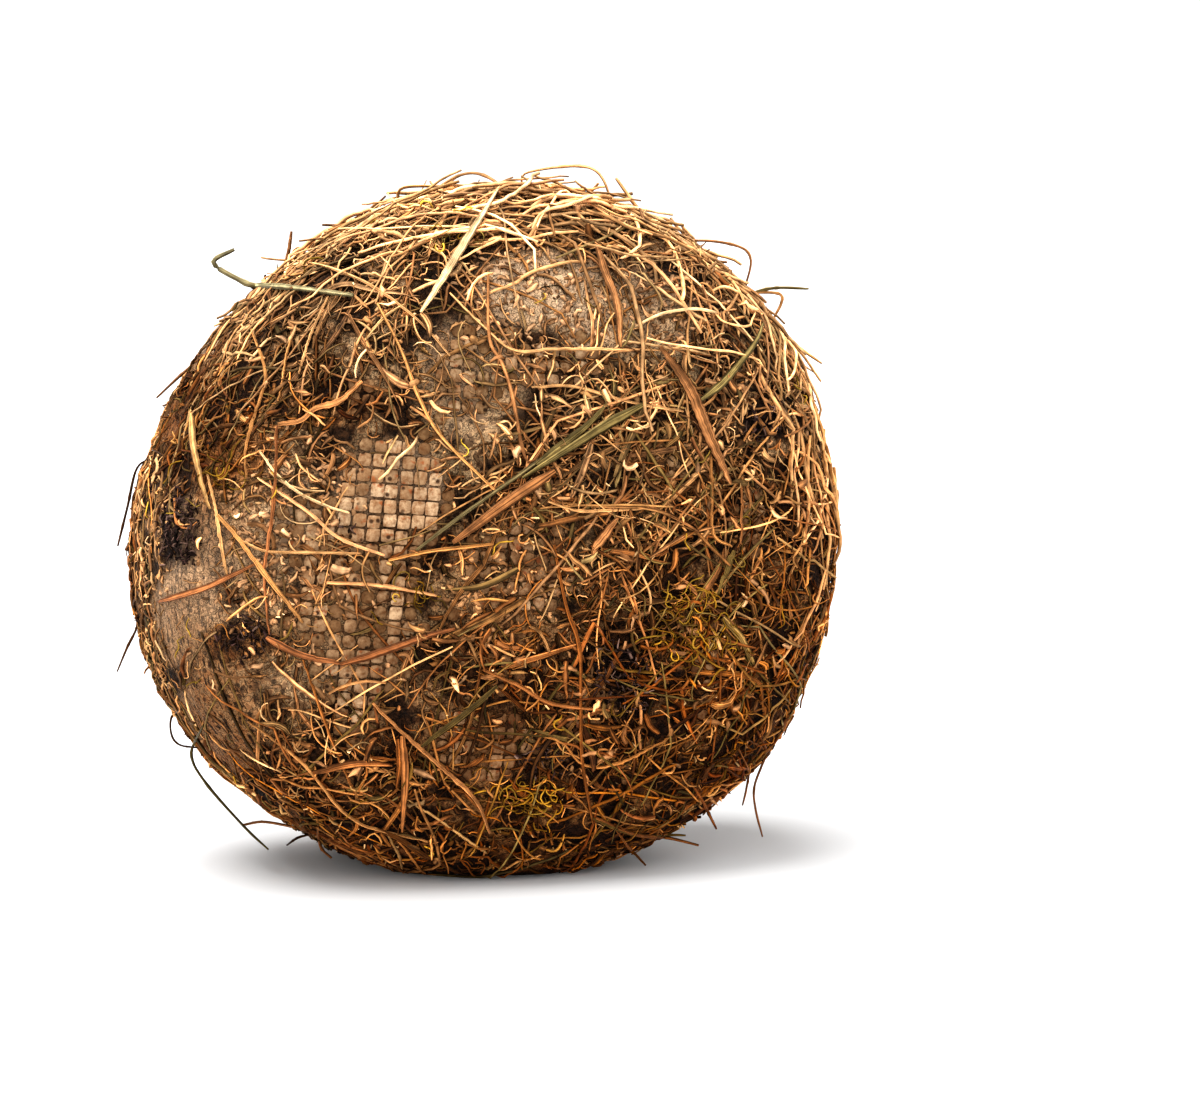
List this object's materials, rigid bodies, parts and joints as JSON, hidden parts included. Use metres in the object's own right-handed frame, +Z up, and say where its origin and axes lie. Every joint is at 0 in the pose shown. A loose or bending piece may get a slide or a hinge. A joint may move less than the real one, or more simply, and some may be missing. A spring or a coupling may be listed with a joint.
{
  "type": "hay-ripened cheese wheel",
  "caption": "Whole round cheese wheel with a hay-covered, mould-printed rind, standing on a small flat spot of its rim.",
  "frame": {"origin": "middle of the flat foot on the rim, where the wheel rests", "axes": "+Z up, +Y along the wheel's axis away from the printed display face, +X to the right of that face as seen from the front"},
  "size_m": [0.2122, 0.1248, 0.2101],
  "materials": {
    "rind": "matte"
  },
  "bodies": {
    "root": {"cheese_wheel": "rind"}
  },
  "joints": []
}
